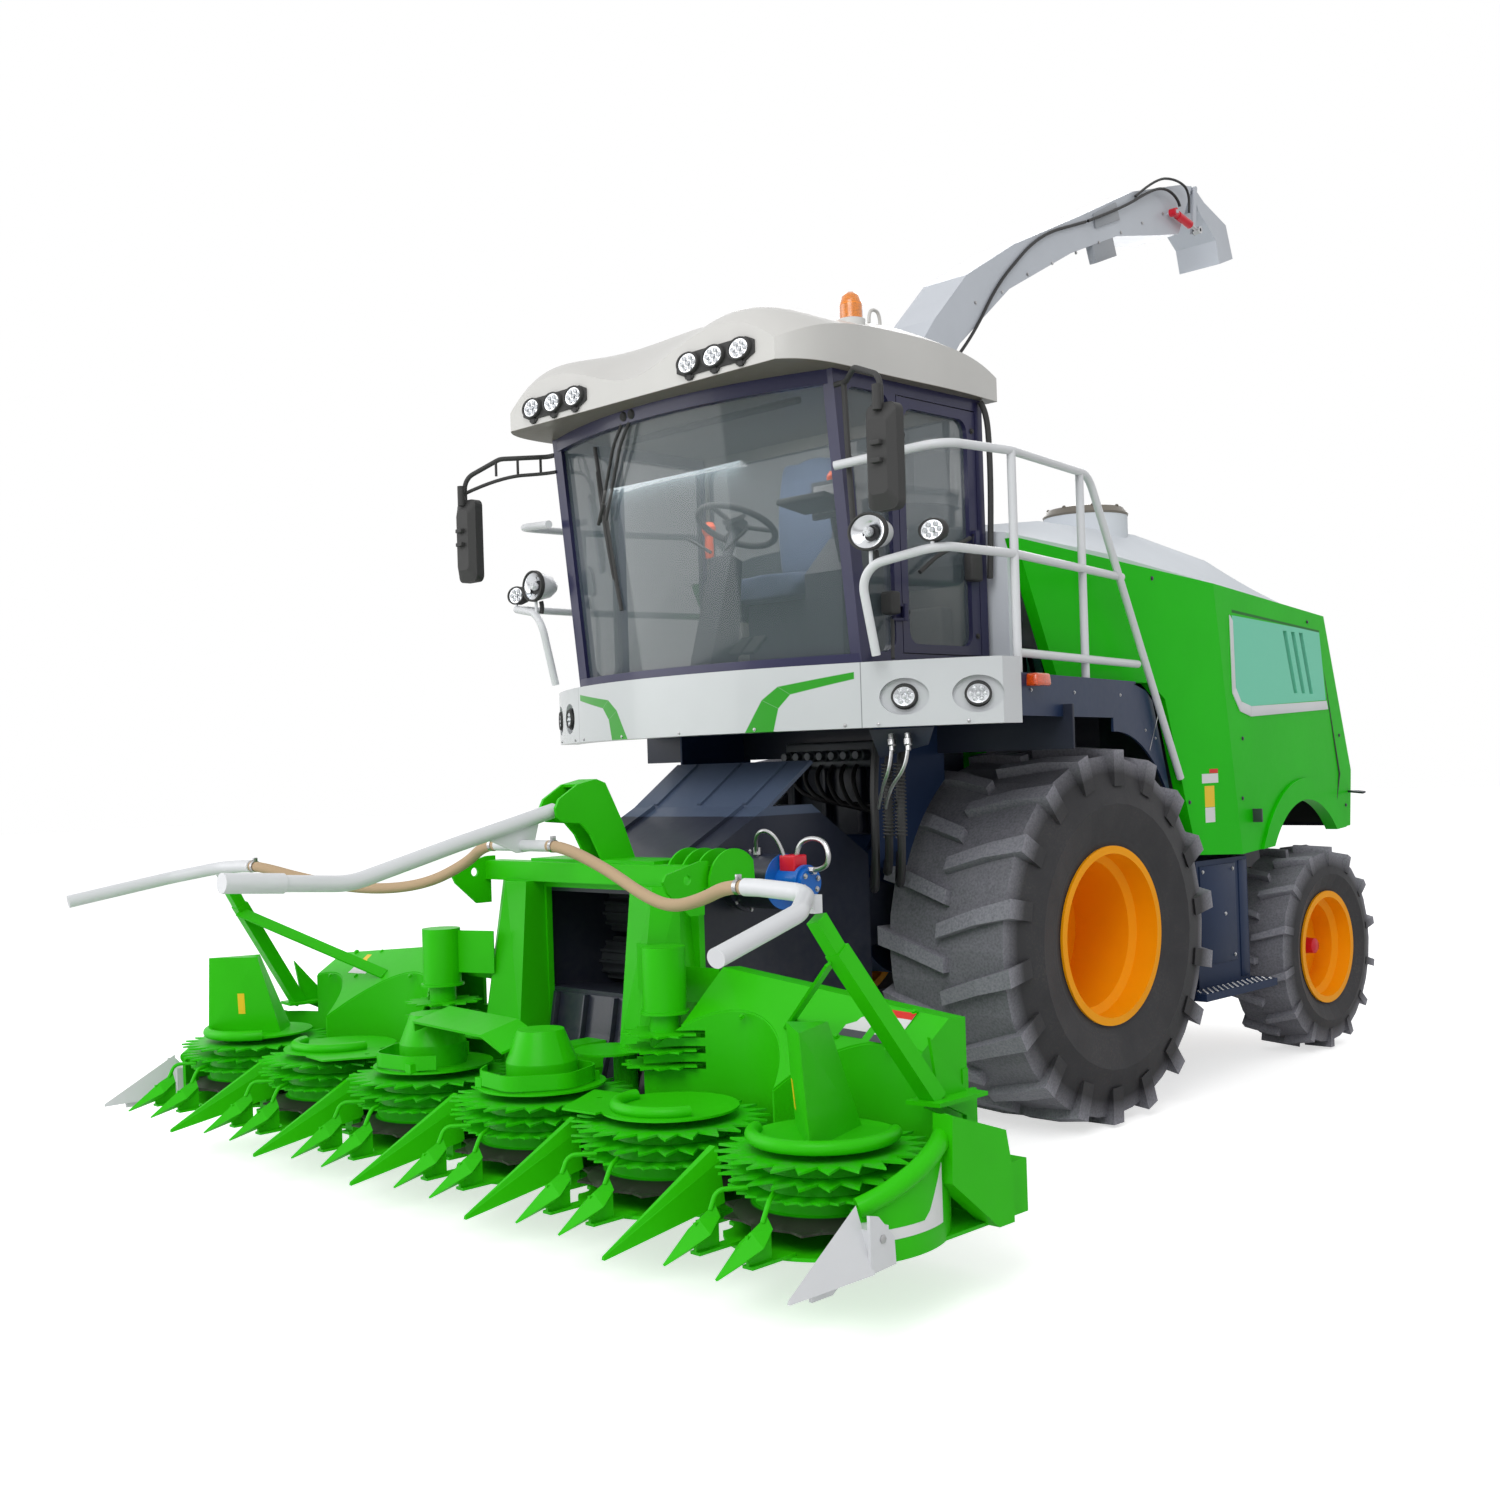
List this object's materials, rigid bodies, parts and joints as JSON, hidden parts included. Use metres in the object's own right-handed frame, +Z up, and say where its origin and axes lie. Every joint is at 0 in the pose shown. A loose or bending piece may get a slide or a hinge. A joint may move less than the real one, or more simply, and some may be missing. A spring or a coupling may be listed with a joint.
{
  "type": "self-propelled forage harvester",
  "caption": "Self-propelled forage harvester with a row-independent crop header, glazed cab and a swivelling discharge spout over the rear body.",
  "frame": {"origin": "On the ground, under the middle of the bounding box.", "axes": "+Z up, -Y forward towards the crop header, +X to the machine's left, the side with the cab door."},
  "size_m": [4.62, 7.2948, 5.4832],
  "materials": {
    "tyre_rubber": "moulded, matt",
    "rim_orange": "orange-yellow paint, satin",
    "dark_steel": "dark grey paint, satin",
    "body_green": "green paint, gloss",
    "off_white": "off-white paint, satin",
    "blue_grey": "blue-grey paint, satin",
    "cab_navy": "dark navy paint, satin",
    "tinted_glass": "grey tint",
    "seat_fabric": "woven dark grey",
    "black_plastic": "matt black",
    "lamp_lens": "clear lens over a bright reflector",
    "header_green": "lime green paint, satin",
    "rotor_steel": "worn steel",
    "tan_hose": "tan sleeve",
    "black_rubber": "matt black",
    "cylinder_steel": "bright steel",
    "cylinder_red": "red paint"
  },
  "bodies": {
    "chassis": {"chassis_frame": "dark_steel", "engine_block": "dark_steel", "chopper_housing": "dark_steel", "side_panels": "body_green", "hood": "off_white", "rear_panel": "dark_steel", "fenders": "blue_grey", "tanks_and_steps": "blue_grey", "cab_frame": "cab_navy", "cab_glass": "tinted_glass", "cab_roof": "off_white", "cab_console": "black_plastic", "seat_cushion": "seat_fabric", "front_beam": "off_white", "lamps": "lamp_lens", "handrails": "off_white", "mirrors": "black_plastic", "front_axle": "dark_steel", "rear_axle": "dark_steel"},
    "cab_door": {"cab_door": "cab_navy", "cab_door_glass": "tinted_glass"},
    "steering_wheel": {"steering_wheel": "black_plastic"},
    "header": {"feeder_housing": "blue_grey", "feed_rolls": "dark_steel", "header_frame": "header_green", "header_covers": "header_green", "row_dividers": "header_green", "side_cones": "off_white", "rotor_covers": "header_green", "push_boom": "off_white", "hose_left": "tan_hose", "hose_right": "tan_hose"},
    "lift_barrels": {"lift_barrels": "cylinder_steel"},
    "lift_rods": {"lift_rods": "cylinder_steel"},
    "spout_base": {"spout_base": "off_white"},
    "spout": {"spout_arc": "off_white", "spout_hose": "black_rubber"},
    "spout_barrel": {"spout_barrel": "cylinder_steel"},
    "spout_rod": {"spout_rod": "cylinder_steel"},
    "spout_flap": {"spout_flap": "off_white"},
    "flap_barrel": {"flap_barrel": "cylinder_red"},
    "flap_rod": {"flap_rod": "cylinder_steel"},
    "knuckle_left": {"knuckle_left": "dark_steel"},
    "knuckle_right": {"knuckle_right": "dark_steel"},
    "drum_left": {"feed_drum_left": "header_green"},
    "drum_right": {"feed_drum_right": "header_green"},
    "wheel_front_left": {"tyre_front_left": "tyre_rubber", "rim_front_left": "rim_orange"},
    "wheel_front_right": {"tyre_front_right": "tyre_rubber", "rim_front_right": "rim_orange"},
    "wheel_rear_left": {"tyre_rear_left": "tyre_rubber", "rim_rear_left": "rim_orange"},
    "wheel_rear_right": {"tyre_rear_right": "tyre_rubber", "rim_rear_right": "rim_orange"},
    "rotor_1": {"rotor_1": "rotor_steel"},
    "rotor_2": {"rotor_2": "rotor_steel"},
    "rotor_3": {"rotor_3": "rotor_steel"},
    "rotor_4": {"rotor_4": "rotor_steel"},
    "rotor_5": {"rotor_5": "rotor_steel"},
    "rotor_6": {"rotor_6": "rotor_steel"}
  },
  "joints": [
    {"name": "wheel_front_left_spin", "type": "hinge", "parent": "chassis", "child": "wheel_front_left", "pos_m": [0.84, 0.306, 0.912], "axis": [1, 0, 0], "continuous": true},
    {"name": "steer_left", "type": "hinge", "parent": "chassis", "child": "knuckle_left", "pos_m": [0.6, 2.763, 0.605], "axis": [0, 0, 1], "range_deg": [-28, 28]},
    {"name": "wheel_rear_left_spin", "type": "hinge", "parent": "knuckle_left", "child": "wheel_rear_left", "pos_m": [0.92, 2.763, 0.605], "axis": [1, 0, 0], "continuous": true},
    {"name": "wheel_front_right_spin", "type": "hinge", "parent": "chassis", "child": "wheel_front_right", "pos_m": [-0.84, 0.306, 0.912], "axis": [1, 0, 0], "continuous": true},
    {"name": "steer_right", "type": "hinge", "parent": "chassis", "child": "knuckle_right", "pos_m": [-0.6, 2.763, 0.605], "axis": [0, 0, 1], "range_deg": [-28, 28]},
    {"name": "wheel_rear_right_spin", "type": "hinge", "parent": "knuckle_right", "child": "wheel_rear_right", "pos_m": [-0.92, 2.763, 0.605], "axis": [1, 0, 0], "continuous": true},
    {"name": "header_lift", "type": "hinge", "parent": "chassis", "child": "header", "pos_m": [0, -0.194, 1.05], "axis": [-1, 0, 0], "range_deg": [-2.5, 15]},
    {"name": "lift_barrel_tilt", "type": "hinge", "parent": "chassis", "child": "lift_barrels", "pos_m": [0, 0.126, 0.64], "axis": [-1, 0, 0], "range_deg": [-2.5, 12]},
    {"name": "lift_rod_slide", "type": "slide", "parent": "lift_barrels", "child": "lift_rods", "axis": [0, -1, 0], "range_m": [-0.02, 0.11]},
    {"name": "rotor_1_spin", "type": "hinge", "parent": "header", "child": "rotor_1", "pos_m": [-1.875, -2.524, 0.42], "axis": [0, 0, 1], "continuous": true},
    {"name": "rotor_2_spin", "type": "hinge", "parent": "header", "child": "rotor_2", "pos_m": [-1.125, -2.524, 0.42], "axis": [0, 0, 1], "continuous": true},
    {"name": "rotor_3_spin", "type": "hinge", "parent": "header", "child": "rotor_3", "pos_m": [-0.375, -2.524, 0.42], "axis": [0, 0, 1], "continuous": true},
    {"name": "rotor_4_spin", "type": "hinge", "parent": "header", "child": "rotor_4", "pos_m": [0.375, -2.524, 0.42], "axis": [0, 0, 1], "continuous": true},
    {"name": "rotor_5_spin", "type": "hinge", "parent": "header", "child": "rotor_5", "pos_m": [1.125, -2.524, 0.42], "axis": [0, 0, 1], "continuous": true},
    {"name": "rotor_6_spin", "type": "hinge", "parent": "header", "child": "rotor_6", "pos_m": [1.875, -2.524, 0.42], "axis": [0, 0, 1], "continuous": true},
    {"name": "drum_left_spin", "type": "hinge", "parent": "header", "child": "drum_left", "pos_m": [0.757, -2.209, 0.8], "axis": [0, 0, 1], "continuous": true},
    {"name": "drum_right_spin", "type": "hinge", "parent": "header", "child": "drum_right", "pos_m": [-0.757, -2.209, 0.8], "axis": [0, 0, 1], "continuous": true},
    {"name": "spout_turn", "type": "hinge", "parent": "chassis", "child": "spout_base", "pos_m": [0, 0.326, 3.12], "axis": [0, 0, 1], "range_deg": [-105, 105]},
    {"name": "spout_lift", "type": "hinge", "parent": "spout_base", "child": "spout", "pos_m": [0, 0.141, 3.62], "axis": [1, 0, 0], "range_deg": [-8, 20]},
    {"name": "spout_barrel_tilt", "type": "hinge", "parent": "spout_base", "child": "spout_barrel", "pos_m": [0, 0.616, 3.215], "axis": [1, 0, 0], "range_deg": [-4, 9.5]},
    {"name": "spout_rod_slide", "type": "slide", "parent": "spout_barrel", "child": "spout_rod", "axis": [0, 0.0376, 0.9993], "range_m": [-0.07, 0.17]},
    {"name": "flap_tilt", "type": "hinge", "parent": "spout", "child": "spout_flap", "pos_m": [0, 3.156, 5.46], "axis": [1, 0, 0], "range_deg": [-10, 20]},
    {"name": "flap_barrel_tilt", "type": "hinge", "parent": "spout", "child": "flap_barrel", "pos_m": [0.195, 2.816, 5.22], "axis": [1, 0, 0], "range_deg": [-2, 3]},
    {"name": "flap_rod_slide", "type": "slide", "parent": "flap_barrel", "child": "flap_rod", "axis": [0, 0.9825, -0.1863], "range_m": [-0.055, 0.11]},
    {"name": "cab_door_hinge", "type": "hinge", "parent": "chassis", "child": "cab_door", "pos_m": [0.968, -0.919, 2.8], "axis": [0, 0, -1], "range_deg": [0, 38]},
    {"name": "steering_wheel_turn", "type": "hinge", "parent": "chassis", "child": "steering_wheel", "pos_m": [0, -0.984, 2.93], "axis": [0, 0.4226, 0.9063], "continuous": true}
  ],
  "couplings": [
    {"joint": "steer_right", "follows": "steer_left", "ratio": 1},
    {"joint": "lift_barrel_tilt", "follows": "header_lift", "ratio": 0.72},
    {"joint": "lift_rod_slide", "follows": "header_lift", "m_per_rad": 0.385},
    {"joint": "spout_barrel_tilt", "follows": "spout_lift", "ratio": 0.43},
    {"joint": "spout_rod_slide", "follows": "spout_lift", "m_per_rad": 0.465},
    {"joint": "flap_barrel_tilt", "follows": "flap_tilt", "ratio": 0.08},
    {"joint": "flap_rod_slide", "follows": "flap_tilt", "m_per_rad": 0.295}
  ]
}
